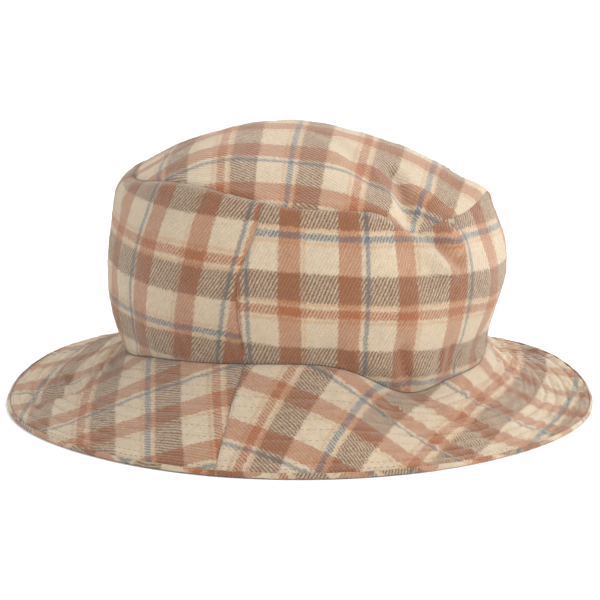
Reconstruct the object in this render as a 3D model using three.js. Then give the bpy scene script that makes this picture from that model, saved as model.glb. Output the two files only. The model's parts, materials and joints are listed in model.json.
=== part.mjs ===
// A soft bucket hat in plaid flannel, standing on the rim of its brim.
//
// Millimetres, +Z up. The origin is at the middle of the hat's outline, on the surface it stands on.
// The hat's front points along +X, and -Y is its right-hand side. An angle is measured round the
// crown from +X towards +Y, in degrees. Every cloth panel is a thin closed shell that follows one of
// three surfaces: the brim, the crown's side, or the crown's round top (its tip).

import * as THREE from 'three';
import { mergeVertices } from 'three/addons/utils/BufferGeometryUtils.js';

// ---- driving dimensions ----------------------------------------------------------------------

const HEAD_LENGTH = 199; // head opening, front to back
const HEAD_WIDTH = 169; // head opening, side to side
const TIP_LENGTH = 194; // seam round the tip, front to back
const TIP_WIDTH = 169;
const RIM_LENGTH = 327; // outer rim of the brim, front to back
const RIM_REACH_RIGHT = 141; // crown's axis to the rim, on the right and on the left
const RIM_REACH_LEFT = 155;
const HEAD_SEAM_HEIGHT = 36; // head seam above the surface, before its waves
const TIP_SEAM_HEIGHT = 128;
const DOME_RISE = 32.4; // how far the tip domes above its seam
const DOME_FULL_RIGHT = 2.35; // power of the dome's fall to its seam: high is full, low is flat
const DOME_FULL_LEFT = 1.4;
const CROWN_BULGE = 12.5; // how far the side swells out between its two seams
const BRIM_WIDTH = 73; // slant width, head seam to rim
const ROW_PITCH = 7; // between the brim's stitch rows, counted in from the rim
const ROW_COUNT = 9;
const RIM_STITCH_INSET = 3.5;

const FLANNEL = 1.0; // cloth thicknesses
const BRIM_FLANNEL = 0.8;
const STIFFENER = 0.5;
const LINING = 0.6;
const SWEATBAND = 0.8;
const LAYER_GAP = 0.5; // clear space between the crown's layers
const BRIM_GAP = 0.3; // clear space between the brim's layers
const THREAD = 0.6;

const SIDE_SEAM = -107; // angle of the seam on the right; its partner is half a turn on
const BACK = 180;
const SEAM_HALF_GAP = 0.13; // degrees left open on each side of a side seam
const COLUMNS = 48; // facets round the hat

// Waves round the hat: [centre angle, half width in degrees, height in millimetres].
const HEAD_SEAM_WAVES = [[-84, 60, 10], [-58, 17, -15], [-27, 28, -10.5], [180, 24, -7.5]];
const TIP_SEAM_WAVES = [
  [-132, 30, 10.5], [-56, 9.5, -11], [-37, 19, -9.5], [29, 32, -16], [85, 40, -5], [140, 40, 3.5],
];
const RIM_WAVES = [[29, 26, 5.5], [147, 30, 5.5]];
const RIM_PULL_IN = [[-135, 22, 0.015], [-45, 22, 0.012]];
const BRIM_HANG = [[0, 50, -9], [60, 40, -6], [180, 50, -4], [-95, 45, 3]];
const SLACK_SIDE = [[-90, 50, -3], [0, 50, -1.5]];
const RIM_CONTACT = 0.3; // rim waves below this height lie flat on the surface

const LABEL_WIDTH = 20;
const LABEL_DROP = 16;
const LABEL_PLY = 0.4;
const LABEL_CLEARANCE = 1.2; // between the sweatband and the label that hangs before it

// ---- the three surfaces ----------------------------------------------------------------------

const radians = THREE.MathUtils.degToRad;

function bell(angle, centre, halfWidth) {
  const turn = THREE.MathUtils.euclideanModulo(angle - centre + 180, 360) - 180;
  return Math.exp(-((turn / halfWidth) ** 2));
}

function waves(angle, rows) {
  return rows.reduce((sum, [centre, halfWidth, height]) => sum + height * bell(angle, centre, halfWidth), 0);
}

// The crown stands a little to the right of the outline's middle, because the brim hangs steeper there.
const AXIS_Y = (RIM_REACH_RIGHT - RIM_REACH_LEFT) / 2;

// A point on an oval round the crown's axis; reach is its half width on the side the angle is on.
function oval(angle, shift, length, reach, z) {
  const turn = radians(angle);
  return new THREE.Vector3(shift + (length / 2) * Math.cos(turn), AXIS_Y + reach * Math.sin(turn), z);
}

function headSeam(angle) {
  const z = HEAD_SEAM_HEIGHT + waves(angle, HEAD_SEAM_WAVES);
  return oval(angle, 4, HEAD_LENGTH, HEAD_WIDTH / 2, z);
}

function tipSeam(angle) {
  const z = TIP_SEAM_HEIGHT + waves(angle, TIP_SEAM_WAVES);
  return oval(angle, 6, TIP_LENGTH, TIP_WIDTH / 2, z);
}

function rimLift(angle) {
  return Math.max(0, waves(angle, RIM_WAVES) - RIM_CONTACT);
}

const BRIM_THICKNESS = 2 * (BRIM_FLANNEL + BRIM_GAP) + STIFFENER;

function rim(angle) {
  const reach = Math.sin(radians(angle)) < 0 ? RIM_REACH_RIGHT : RIM_REACH_LEFT;
  const pull = 1 - waves(angle, RIM_PULL_IN);
  const edge = oval(angle, 0, RIM_LENGTH, reach, 0).multiplyScalar(pull);
  return edge.setZ(BRIM_THICKNESS + rimLift(angle));
}

// The brim's profile is a parabola from the head seam (t = 0) to the rim (t = 1) that sags or
// crowns across its width.
function brimCurve(angle, t) {
  const start = headSeam(angle);
  const end = rim(angle);
  const across = end.clone().sub(start);
  const outward = new THREE.Vector3(across.x, across.y, 0).normalize();
  const square = outward.clone().multiplyScalar(-across.z).setZ(across.dot(outward)).normalize();
  const middle = start.clone().add(end).multiplyScalar(0.5);
  middle.addScaledVector(square, 2 * waves(angle, BRIM_HANG));
  return new THREE.QuadraticBezierCurve3(start, middle, end).getPoint(t);
}

// How far in from the rim a point of the brim is, as the profile's t.
const fromRim = (distance) => 1 - distance / BRIM_WIDTH;

// Level direction straight out of the crown's side.
function outwardAt(angle) {
  const turn = radians(angle);
  return new THREE.Vector3(Math.cos(turn) / HEAD_LENGTH, Math.sin(turn) / HEAD_WIDTH, 0).normalize();
}

// The crown's side from the head seam (t = 0) to the tip seam (t = 1).
function sideCurve(angle, t) {
  const turn = radians(angle);
  const front = 0.5 + 0.5 * Math.cos(turn);
  const lean = 1 + 0.27 * front;
  const fullness = 0.88 - 0.52 * t + (0.42 + 0.27 * t) * front;
  const swell = (CROWN_BULGE + waves(angle, SLACK_SIDE)) * Math.sin(Math.PI * t ** lean) ** fullness;
  return headSeam(angle).lerp(tipSeam(angle), t).addScaledVector(outwardAt(angle), swell);
}

const TIP_CENTRE = new THREE.Vector3(-10.5, -14.5, TIP_SEAM_HEIGHT);

// The tip from its crown point (t = 0) to its seam (t = 1). It is fuller on the hat's right.
function tipCurve(angle, t) {
  const seam = tipSeam(angle);
  const left = 0.5 + 0.5 * Math.sin(radians(angle));
  const fullness = THREE.MathUtils.lerp(DOME_FULL_RIGHT, DOME_FULL_LEFT, left);
  const z = THREE.MathUtils.lerp(TIP_SEAM_HEIGHT, seam.z, t ** 2) + DOME_RISE * (1 - t ** fullness);
  return TIP_CENTRE.clone().lerp(seam, t).setZ(z);
}

const BRIM_KNOTS = [0, fromRim(63), fromRim(49), fromRim(35), fromRim(21), fromRim(7), 1];
const SIDE_KNOTS = [0, 0.12, 0.25, 0.4, 0.55, 0.7, 0.82, 0.92, 1];
const TIP_KNOTS = [0, 0.3, 0.55, 0.78, 1];

// A surface is straight between its knots, so that every layer and every row of thread lies on the
// same facets, whatever its own ends are.
function onFacets(curve, knots, angle, t) {
  const next = Math.max(1, knots.findIndex((knot) => knot >= t));
  const [low, high] = [knots[next - 1], knots[next]];
  return curve(angle, low).lerp(curve(angle, high), (t - low) / (high - low));
}

// Depth goes straight down from the brim and the tip, and level into the crown's side.
function brimPoint(angle, t, depth) {
  return onFacets(brimCurve, BRIM_KNOTS, angle, t).add(new THREE.Vector3(0, 0, -depth));
}

function tipPoint(angle, t, depth) {
  return onFacets(tipCurve, TIP_KNOTS, angle, t).add(new THREE.Vector3(0, 0, -depth));
}

function sidePoint(angle, t, depth) {
  return onFacets(sideCurve, SIDE_KNOTS, angle, t).addScaledVector(outwardAt(angle), -depth);
}

// The knots of a panel that starts and ends anywhere on its surface.
function span(knots, from, to) {
  return [from, ...knots.filter((knot) => knot > from && knot < to), to];
}

// ---- solids swept round the hat ---------------------------------------------------------------

function fullTurn(start) {
  return Array.from({ length: COLUMNS + 1 }, (_, column) => start + (360 * column) / COLUMNS);
}

// Angles of one panel, short of the seam at each of its ends.
function partTurn(start, turn) {
  const columns = Math.round((COLUMNS * turn) / 360);
  const angles = Array.from({ length: columns + 1 }, (_, column) => start + (turn * column) / columns);
  angles[0] += SEAM_HALF_GAP;
  angles[columns] -= SEAM_HALF_GAP;
  return angles;
}

// Joins a closed section, given as a list of points for each angle, into one closed solid. Each
// facet folds along its shorter diagonal, so neighbouring layers fold alike. A sweep of a whole turn
// closes on itself, and a shorter one is capped at both ends.
function sweep(section, angles) {
  const sections = angles.map((angle) => section(THREE.MathUtils.euclideanModulo(angle, 360)));
  const count = sections[0].length;
  const indices = [];
  for (let column = 0; column + 1 < sections.length; column += 1) {
    const [near, far] = [sections[column], sections[column + 1]];
    for (let k = 0; k < count; k += 1) {
      const next = (k + 1) % count;
      const [a, b] = [column * count + k, column * count + next];
      const [c, d] = [a + count, b + count];
      if (near[k].distanceTo(far[next]) < near[next].distanceTo(far[k])) indices.push(a, b, d, a, d, c);
      else indices.push(a, b, c, b, d, c);
    }
  }
  if (angles.at(-1) - angles[0] < 359.999) {
    const flat = (points) => points.map((p) => new THREE.Vector2(Math.hypot(p.x, p.y), p.z));
    const last = (sections.length - 1) * count;
    for (const [a, b, c] of capTriangles(flat(sections[0]))) indices.push(a, c, b);
    for (const [a, b, c] of capTriangles(flat(sections.at(-1)))) indices.push(last + a, last + b, last + c);
  }
  return closedGeometry(sections.flat(), indices);
}

// Triangles of one end face, all turned the way the outline itself runs.
function capTriangles(outline) {
  const turned = THREE.ShapeUtils.isClockWise(outline);
  const faces = THREE.ShapeUtils.triangulateShape(outline, []);
  const area = ([a, b, c]) => THREE.ShapeUtils.area([outline[a], outline[b], outline[c]]);
  return faces.map((face) => (area(face) < 0 === turned ? face : [face[0], face[2], face[1]]));
}

// Shares the vertices that coincide and drops the triangles that this leaves without area.
function closedGeometry(points, indices) {
  const loose = new THREE.BufferGeometry().setFromPoints(points);
  loose.setIndex(indices);
  const geometry = mergeVertices(loose, 1e-3);
  const index = Array.from(geometry.index.array);
  const kept = [];
  for (let k = 0; k < index.length; k += 3) {
    const [a, b, c] = index.slice(k, k + 3);
    if (a !== b && b !== c && c !== a) kept.push(a, b, c);
  }
  geometry.setIndex(kept);
  geometry.computeVertexNormals();
  return geometry;
}

// A panel between two depths of a surface: up its outer face and back down its inner one.
function shell(surface, knots, outerDepth, innerDepth) {
  return (angle) => [
    ...knots.map((t) => surface(angle, t, outerDepth)),
    ...knots.toReversed().map((t) => surface(angle, t, innerDepth)),
  ];
}

// ---- materials -------------------------------------------------------------------------------

const material = (color, roughness) => new THREE.MeshStandardMaterial({ color, roughness, metalness: 0 });

const flannel = () => material('#c09a78', 0.95);
const facing = () => material('#b98f6e', 0.95);
const stiffener = () => material('#e9e4da', 0.9);
const liningCotton = () => material('#d8c8b0', 0.85);
const bandTwill = () => material('#cbb79b', 0.9);
const thread = () => material('#b27c55', 0.7);
const labelCloth = () => material('#efe9dd', 0.8);

// ---- crown -----------------------------------------------------------------------------------

const LINING_DEPTH = FLANNEL + LAYER_GAP;
const BAND_DEPTH = LINING_DEPTH + LINING + LAYER_GAP;
const BAND_FACE = BAND_DEPTH + SWEATBAND;
const BAND_TOP = 0.36;
const BAND_STITCH = 0.05;

function crownTip() {
  return sweep(shell(tipPoint, TIP_KNOTS, 0, FLANNEL), fullTurn(SIDE_SEAM));
}

function crownSide(start) {
  return sweep(shell(sidePoint, span(SIDE_KNOTS, 0.008, 0.98), FLANNEL, 0), partTurn(start, 180));
}

function liningTip() {
  const knots = span(TIP_KNOTS, 0, 0.975);
  return sweep(shell(tipPoint, knots, LINING_DEPTH, LINING_DEPTH + LINING), fullTurn(SIDE_SEAM));
}

function liningSide(start) {
  const knots = span(SIDE_KNOTS, 0.012, 0.955);
  return sweep(shell(sidePoint, knots, LINING_DEPTH + LINING, LINING_DEPTH), partTurn(start, 180));
}

// The band is one strip whose ends meet at the back.
function sweatband() {
  const knots = span(SIDE_KNOTS, 0.012, BAND_TOP);
  return sweep(shell(sidePoint, knots, BAND_FACE, BAND_DEPTH), partTurn(BACK, 360));
}

function sweatbandStitch() {
  const half = THREAD / 2 / (TIP_SEAM_HEIGHT - HEAD_SEAM_HEIGHT);
  const face = BAND_FACE + BRIM_GAP;
  const section = (angle) => [
    sidePoint(angle, BAND_STITCH + half, face),
    sidePoint(angle, BAND_STITCH - half, face),
    sidePoint(angle, BAND_STITCH, face + THREAD),
  ];
  return sweep(section, fullTurn(BACK));
}

// ---- brim ------------------------------------------------------------------------------------

const STIFFENER_DEPTH = BRIM_FLANNEL + BRIM_GAP;
const FACING_DEPTH = STIFFENER_DEPTH + STIFFENER + BRIM_GAP;
const ROLL = 1.2; // cloth of the facing that rolls up round the rim
const HEM_WIDTH = 2.4; // flat underside of the rolled rim
const INNER_KNOTS = span(BRIM_KNOTS, 0, fromRim(ROLL + 0.5));

function brimTop(start) {
  return sweep(shell(brimPoint, INNER_KNOTS, 0, BRIM_FLANNEL), partTurn(start, 180));
}

function brimStiffener(start) {
  const section = shell(brimPoint, INNER_KNOTS, STIFFENER_DEPTH, STIFFENER_DEPTH + STIFFENER);
  return sweep(section, partTurn(start, 180));
}

// The facing lies under the brim, and its edge rolls up round the rim to meet the top cloth. The
// roll's underside is level, and it is what the hat stands on.
function brimFacing(start) {
  const knots = BRIM_KNOTS.slice(0, -1);
  const roll = fromRim(ROLL);
  const section = (angle) => {
    const foot = brimPoint(angle, 1, BRIM_THICKNESS);
    const heel = brimPoint(angle, fromRim(HEM_WIDTH), BRIM_THICKNESS).setZ(foot.z);
    return [
      ...knots.map((t) => brimPoint(angle, t, FACING_DEPTH)),
      brimPoint(angle, roll, FACING_DEPTH),
      brimPoint(angle, roll, 0),
      brimPoint(angle, 1, 0),
      foot,
      heel,
      brimPoint(angle, fromRim(HEM_WIDTH + 1.4), BRIM_THICKNESS),
      ...knots.toReversed().map((t) => brimPoint(angle, t, BRIM_THICKNESS)),
    ];
  };
  return sweep(section, partTurn(start, 180));
}

// One row of thread lies just above the top cloth, round the whole brim.
function brimRow(distance) {
  const half = THREAD / 2;
  const section = (angle) => [
    brimPoint(angle, fromRim(distance + half), -BRIM_GAP),
    brimPoint(angle, fromRim(distance), -BRIM_GAP - THREAD),
    brimPoint(angle, fromRim(distance - half), -BRIM_GAP),
  ];
  return sweep(section, fullTurn(SIDE_SEAM));
}

// ---- size label ------------------------------------------------------------------------------

const LABEL_TOP = 0.33;
const LABEL_FACE = BAND_FACE + LABEL_CLEARANCE;

// A folded loop: two plies joined by the fold at the bottom, hanging from its sewn top edge.
function sizeLabel() {
  const half = 1.5 * LABEL_PLY;
  const shape = new THREE.Shape();
  shape.moveTo(-half, 0);
  shape.lineTo(-half, -LABEL_DROP + half);
  shape.absarc(0, -LABEL_DROP + half, half, Math.PI, 2 * Math.PI, false);
  shape.lineTo(half, 0);
  shape.lineTo(half - LABEL_PLY, 0);
  shape.lineTo(half - LABEL_PLY, -LABEL_DROP + half);
  shape.absarc(0, -LABEL_DROP + half, half - LABEL_PLY, 0, Math.PI, true);
  shape.lineTo(-half + LABEL_PLY, 0);
  const options = { depth: LABEL_WIDTH, bevelEnabled: false, curveSegments: 6 };
  return new THREE.ExtrudeGeometry(shape, options).translate(0, 0, -LABEL_WIDTH / 2).rotateX(Math.PI / 2);
}

// The label's top edge, and how far it leans in with the sweatband behind it.
function hangLabel(mesh) {
  const top = sidePoint(BACK, LABEL_TOP, LABEL_FACE + 1.5 * LABEL_PLY);
  const foot = sidePoint(BACK, 0.12, LABEL_FACE + 1.5 * LABEL_PLY);
  mesh.position.copy(top);
  mesh.rotation.y = -Math.atan2(foot.x - top.x, top.z - foot.z);
}

function labelTack() {
  const section = shell(sidePoint, [LABEL_TOP + 0.012, LABEL_TOP + 0.022], BAND_FACE + 0.9, BAND_FACE + 0.3);
  return sweep(section, [BACK - 4, BACK, BACK + 4]);
}

// ---- the hat ---------------------------------------------------------------------------------

const hat = new THREE.Group();

function add(name, geometry, cloth) {
  const mesh = new THREE.Mesh(geometry, cloth);
  mesh.name = name;
  hat.add(mesh);
  return mesh;
}

add('crown_tip', crownTip(), flannel());
add('lining_tip', liningTip(), liningCotton());
for (const [half, start] of [['front', SIDE_SEAM], ['back', SIDE_SEAM + 180]]) {
  add(`crown_side_${half}`, crownSide(start), flannel());
  add(`lining_side_${half}`, liningSide(start), liningCotton());
  add(`brim_top_${half}`, brimTop(start), flannel());
  add(`brim_stiffener_${half}`, brimStiffener(start), stiffener());
  add(`brim_facing_${half}`, brimFacing(start), facing());
}
add('sweatband', sweatband(), bandTwill());
add('sweatband_stitch', sweatbandStitch(), thread());
add('brim_rim_stitch', brimRow(RIM_STITCH_INSET), thread());
for (let row = 1; row <= ROW_COUNT; row += 1) {
  add(`brim_stitch_row_${row}`, brimRow(row * ROW_PITCH), thread());
}
hangLabel(add('size_label', sizeLabel(), labelCloth()));
add('label_tack', labelTack(), thread());

export default hat;
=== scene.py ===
"""A bucket hat in brushed plaid flannel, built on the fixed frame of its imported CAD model.

Shapes are worked out in millimetres, in the CAD model's own frame: the hat stands on the rim of its
brim, its front points along +X, and -Y is its right-hand side. An angle is measured round the crown
from +X towards +Y in degrees, and t runs across a surface from one seam to the other.
"""

import json
import math

import bmesh
import bpy
import numpy as np
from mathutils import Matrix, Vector


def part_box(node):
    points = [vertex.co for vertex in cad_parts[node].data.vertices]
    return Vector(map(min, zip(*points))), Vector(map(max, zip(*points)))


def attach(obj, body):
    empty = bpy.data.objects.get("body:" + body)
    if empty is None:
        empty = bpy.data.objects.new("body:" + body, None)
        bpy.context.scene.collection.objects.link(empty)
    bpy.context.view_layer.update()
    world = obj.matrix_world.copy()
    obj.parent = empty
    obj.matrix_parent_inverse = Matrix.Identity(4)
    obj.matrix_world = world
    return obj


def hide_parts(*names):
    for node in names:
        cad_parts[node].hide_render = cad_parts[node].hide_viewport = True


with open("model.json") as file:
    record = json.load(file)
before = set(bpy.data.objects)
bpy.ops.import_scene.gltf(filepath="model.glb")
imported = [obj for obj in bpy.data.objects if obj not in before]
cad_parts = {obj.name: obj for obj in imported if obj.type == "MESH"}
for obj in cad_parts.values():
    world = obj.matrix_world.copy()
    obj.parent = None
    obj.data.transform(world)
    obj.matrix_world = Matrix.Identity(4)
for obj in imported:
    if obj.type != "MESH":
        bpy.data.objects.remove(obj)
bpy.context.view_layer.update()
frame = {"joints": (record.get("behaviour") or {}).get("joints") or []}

MM = 0.001

# ---- driving dimensions, as in the CAD model ---------------------------------------------------

HEAD_LENGTH, HEAD_WIDTH = 199, 169
TIP_LENGTH, TIP_WIDTH = 194, 169
RIM_LENGTH = 327
RIM_REACH_RIGHT, RIM_REACH_LEFT = 141, 155
HEAD_SEAM_HEIGHT, TIP_SEAM_HEIGHT = 36, 128
DOME_RISE = 32.4
DOME_FULL_RIGHT, DOME_FULL_LEFT = 2.35, 1.4
CROWN_BULGE = 12.5
BRIM_WIDTH = 73
BRIM_THICKNESS = 2.7
ROW_PITCH = 7
ROW_COUNT = 9
RIM_STITCH_INSET = 3.5
SIDE_SEAM = -107
HEAD_SHIFT, TIP_SHIFT = 4, 6  # how far each oval's middle lies towards the hat's front
AXIS_Y = (RIM_REACH_RIGHT - RIM_REACH_LEFT) / 2
TIP_CENTRE = np.array([-10.5, -14.5, TIP_SEAM_HEIGHT])

# Waves round the hat: (centre angle, half width in degrees, height in millimetres).
HEAD_SEAM_WAVES = [(-84, 60, 10), (-58, 17, -15), (-27, 28, -10.5), (180, 24, -7.5)]
TIP_SEAM_WAVES = [
    (-132, 30, 10.5), (-56, 9.5, -11), (-37, 19, -9.5), (29, 32, -16), (85, 40, -5), (140, 40, 3.5),
]
RIM_WAVES = [(29, 26, 5.5), (147, 30, 5.5)]
RIM_PULL_IN = [(-135, 22, 0.015), (-45, 22, 0.012)]
BRIM_HANG = [(0, 50, -9), (60, 40, -6), (180, 50, -4), (-95, 45, 3)]
SLACK_SIDE = [(-90, 50, -3), (0, 50, -1.5)]
RIM_CONTACT = 0.3

FLANNEL = 1.0
BRIM_FLANNEL = 0.8
LINING_DEPTH, LINING = 1.5, 0.6
BAND_DEPTH, BAND = 2.6, 0.8
BAND_TOP = 0.36  # t on the crown's side

# Lengths of cloth for t from 0 to 1, near enough to tell how far away a seam is. The side's is longer
# close to its tip seam than close to its head seam.
SIDE_RUN, SIDE_RUN_BY_TIP, SIDE_RUN_BY_HEAD = 100, 103, 98
TIP_RUN = 90

# ---- the three surfaces ------------------------------------------------------------------------


def waves(angle, rows):
    """Sum of the smooth waves that stand at their own angles round the hat."""
    total = np.zeros_like(angle, dtype=float)
    for centre, half_width, height in rows:
        away = (angle - centre + 180) % 360 - 180
        total = total + height * np.exp(-((away / half_width) ** 2))
    return total


def unit(vectors):
    return vectors / np.linalg.norm(vectors, axis=-1, keepdims=True)


def stack(x, y, z):
    return np.stack(np.broadcast_arrays(x, y, z), axis=-1).astype(float)


def oval(angle, shift, length, reach, height):
    """Points of an oval round the crown's axis."""
    turn = np.radians(angle)
    return stack(shift + length / 2 * np.cos(turn), AXIS_Y + reach * np.sin(turn), height)


def head_seam(angle):
    height = HEAD_SEAM_HEIGHT + waves(angle, HEAD_SEAM_WAVES)
    return oval(angle, HEAD_SHIFT, HEAD_LENGTH, HEAD_WIDTH / 2, height)


def tip_seam(angle):
    height = TIP_SEAM_HEIGHT + waves(angle, TIP_SEAM_WAVES)
    return oval(angle, TIP_SHIFT, TIP_LENGTH, TIP_WIDTH / 2, height)


def rim(angle):
    reach = np.where(np.sin(np.radians(angle)) < 0, RIM_REACH_RIGHT, RIM_REACH_LEFT)
    pull = 1 - waves(angle, RIM_PULL_IN)
    edge = oval(angle, 0, RIM_LENGTH, reach, 0.0) * pull[..., None]
    edge[..., 2] = BRIM_THICKNESS + np.maximum(0, waves(angle, RIM_WAVES) - RIM_CONTACT)
    return edge


def blend(a, b, t):
    return a + (b - a) * t[..., None]


def side(angle, t):
    """The crown's side, from the head seam (t = 0) to the tip seam (t = 1)."""
    turn = np.radians(angle)
    front = 0.5 + 0.5 * np.cos(turn)
    fullness = 0.88 - 0.52 * t + (0.42 + 0.27 * t) * front
    arch = np.clip(np.sin(np.pi * t ** (1 + 0.27 * front)), 0, 1) ** fullness
    swell = (CROWN_BULGE + waves(angle, SLACK_SIDE)) * arch
    level = unit(stack(np.cos(turn) / HEAD_LENGTH, np.sin(turn) / HEAD_WIDTH, 0.0))
    return blend(head_seam(angle), tip_seam(angle), t) + level * swell[..., None]


def tip(angle, t):
    """The tip, from its crown point (t = 0) to its seam (t = 1)."""
    seam = tip_seam(angle)
    left = 0.5 + 0.5 * np.sin(np.radians(angle))
    fall = t ** (DOME_FULL_RIGHT + (DOME_FULL_LEFT - DOME_FULL_RIGHT) * left)
    points = blend(np.broadcast_to(TIP_CENTRE, seam.shape), seam, t)
    points[..., 2] = TIP_SEAM_HEIGHT + (seam[..., 2] - TIP_SEAM_HEIGHT) * t**2 + DOME_RISE * (1 - fall)
    return points


def brim(angle, t):
    """The brim, from the head seam (t = 0) to the rim (t = 1)."""
    start, end = head_seam(angle), rim(angle)
    across = end - start
    outward = unit(across * [1, 1, 0])
    square = outward * -across[..., 2:]
    square[..., 2] = np.sum(across * outward, axis=-1)
    middle = (start + end) / 2 + unit(square) * 2 * waves(angle, BRIM_HANG)[..., None]
    return blend(blend(start, middle, t), blend(middle, end, t), t)


def square_to(surface, angle, t):
    """Unit normals of a surface, out of the hat."""
    t = np.clip(t, 0.01 if surface is tip else 0, 1)
    low, high = np.clip(t - 0.004, 0, 1), np.clip(t + 0.004, 0, 1)
    along = surface(angle + 0.3, t) - surface(angle - 0.3, t)
    across = surface(angle, high) - surface(angle, low)
    turned = 1 if surface is side else -1
    return unit(np.cross(along, across)) * turned


# Each surface's seams: its own t there, the surface that it meets and that surface's t.
MEETS = {side: [(0, brim, 0), (1, tip, 1)], tip: [(1, side, 1)], brim: [(0, side, 0)]}
SEAM_TURN = 3.5  # distance from a seam within which the cloth turns into it, taken alike on all three


def facing_out(surface, angle, t):
    """Unit normals that turn, close to a seam, into one direction that both of its panels share."""
    own = square_to(surface, angle, t)
    total = own
    for edge, other, other_edge in MEETS[surface]:
        near = np.exp(-((np.abs(t - edge) * SIDE_RUN / SEAM_TURN) ** 2))[..., None]
        row = angle[..., :1] if angle.ndim > 1 else angle
        ends = np.full(row.shape, float(edge)), np.full(row.shape, float(other_edge))
        shared = unit(square_to(surface, row, ends[0]) + square_to(other, row, ends[1]))
        total = total + (shared - own) * near
    return unit(total)


# ---- folds, dents and puckers ------------------------------------------------------------------


def ripple(points, wavelength, seed):
    """Smooth seeded unevenness, mostly between -1 and 1."""
    rng = np.random.default_rng(seed)
    total = 0
    for _ in range(8):
        direction = unit(rng.normal(size=3))
        reach = wavelength * rng.uniform(0.7, 1.5)
        total = total + np.sin(points @ direction * 2 * np.pi / reach + rng.uniform(0, 2 * np.pi))
    return total / 3


def crease(points, surface, path, width, height):
    """A ridge, or a valley where height is negative, along a path of (angle, t) places."""
    knots = surface(*np.array(path, dtype=float).T)
    nearest = np.full(points.shape[:-1], np.inf)
    for start, end in zip(knots[:-1], knots[1:]):
        run = end - start
        along = np.clip((points - start) @ run / (run @ run), 0, 1)
        gap = np.linalg.norm(points - start - along[..., None] * run, axis=-1)
        nearest = np.minimum(nearest, gap)
    return height * np.exp(-((nearest / width) ** 2))


# Folds and dents that the photo shows: a path of (angle, t) places, half width and height.
SIDE_CREASES = [
    ([(-70, 1.0), (-54.5, 0.95), (-51, 0.84), (-46.5, 0.72)], 5.5, 3.4),
    ([(-57, 1.0), (-52, 0.97), (-47.5, 0.86), (-43, 0.76)], 4, -4.4),
    ([(-45, 0.93), (-41, 0.84)], 11, 3),
    ([(-62, 0.27), (-60, 0.13), (-56.5, 0.03)], 4, -2.2),
    ([(-75, 0.1), (-58, 0.12), (-46, 0.1)], 9, 2.4),
    ([(-14, 0.32), (-20, 0.12)], 8, -1.6),
    ([(-28, 0.62), (-24, 0.4)], 14, 1.5),
    ([(-48, 0.06), (-46.5, 0.2)], 3.2, -1.7),
    ([(-43.5, 0.06), (-41.5, 0.22)], 3.4, -1.7),
    ([(-38, 0.05), (-36.5, 0.16)], 3, -1.3),
    ([(-41, 0.66), (-33, 0.6)], 12, 1.6),
    ([(-165, 0.95), (178, 0.9), (160, 0.94)], 12, 2.2),
    ([(-150, 0.35), (-158, 0.12)], 10, -1.3),
]
TIP_CREASES = [
    ([(-44.5, 0.72), (-48.5, 0.8), (-51.5, 0.875), (-55.5, 0.99)], 4.5, -4.4),
    ([(-55, 0.66), (-58, 0.8), (-61, 0.9), (-64, 1.0)], 7, 3.2),
    ([(-42, 0.87), (-36, 0.88)], 10, 2.4),
    ([(-20, 0.9), (5, 0.86)], 9, -1.3),
    ([(-150, 0.8), (-120, 0.72)], 14, 1.4),
]
BRIM_CREASES = [
    ([(-61.5, 0.2), (-57, 0.54), (-51.5, 0.7)], 8, 1.8),
    ([(-171.5, 0.68), (-167, 0.55)], 6.5, -3.0),
    ([(-178, 0.8), (-163.5, 0.79)], 3.4, -1.8),
    ([(179, 0.51), (-161, 0.47)], 3.4, -1.8),
    ([(45, 0.9), (28.5, 0.49), (13, 0.38), (8, 0.5), (-2, 0.57), (-8, 0.58)], 5, 1.8),
]
CREASES = {side: SIDE_CREASES, tip: TIP_CREASES, brim: BRIM_CREASES}
RUN = {side: SIDE_RUN, tip: TIP_RUN, brim: BRIM_WIDTH}
SEAM_HOLD = 6  # distance from a seam over which it holds the cloth still


def folds(surface, points, t):
    """How far the cloth and all that lies under it stands out from the plain surface."""
    total = 0.5 * ripple(points, 46, 3) + 0.22 * ripple(points, 17, 4)
    for path, half_width, height in CREASES[surface]:
        total = total + crease(points, surface, path, half_width, height)
    total = total * held_by_seam(RUN[surface] * (1 - t))
    return total if surface is tip else total * held_by_seam(RUN[surface] * t)


def held_by_seam(distance):
    """From 0 at a seam, which holds the cloth still, to 1 where the cloth is free."""
    return 1 - np.exp(-((distance / SEAM_HOLD) ** 2))


def seam_angle(surface, t):
    """The angle of the right side seam, which wanders a little on its way down."""
    if surface is side:
        bow = 2.6 * np.sin(np.pi * np.clip(t / 0.8, 0, 1))
        lean = 3.2 * np.clip(t - 0.55, 0, 1) / 0.45
        return -108.4 - bow + lean
    return -109.4 + 5.2 * t - 1.4 * t**2


def from_side_seam(surface, angle, t):
    """Distance along the cloth to the nearer of the two side seams."""
    away = (angle - seam_angle(surface, t) + 90) % 180 - 90
    mm_per_degree = 1.75 if surface is side else 1.62 + 1.1 * t
    return np.abs(away) * mm_per_degree


SEAM_PUFF, PUFF_PLACE, PUFF_REACH = 0.4, 3.2, 2.2
PUFF_AT_SEAM = 0.05  # what is left of the puff at the seam itself
TIP_SEAM_DEPTH, SEAM_DEPTH = 0.45, 0.6
# The furthest that a seam or a stitch may draw the outer face in, so that it stays clear of the inner.
DEEPEST, DEEPEST_IN_BRIM = -0.75, -0.65


def seam_edge(distance, depth=SEAM_DEPTH, width=1.0):
    """The cloth puffs up beside a seam and dives into it."""
    puff = SEAM_PUFF * np.exp(-(((distance - PUFF_PLACE) / PUFF_REACH) ** 2))
    return puff - (depth + PUFF_AT_SEAM) * np.exp(-((distance / width) ** 2))


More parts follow.
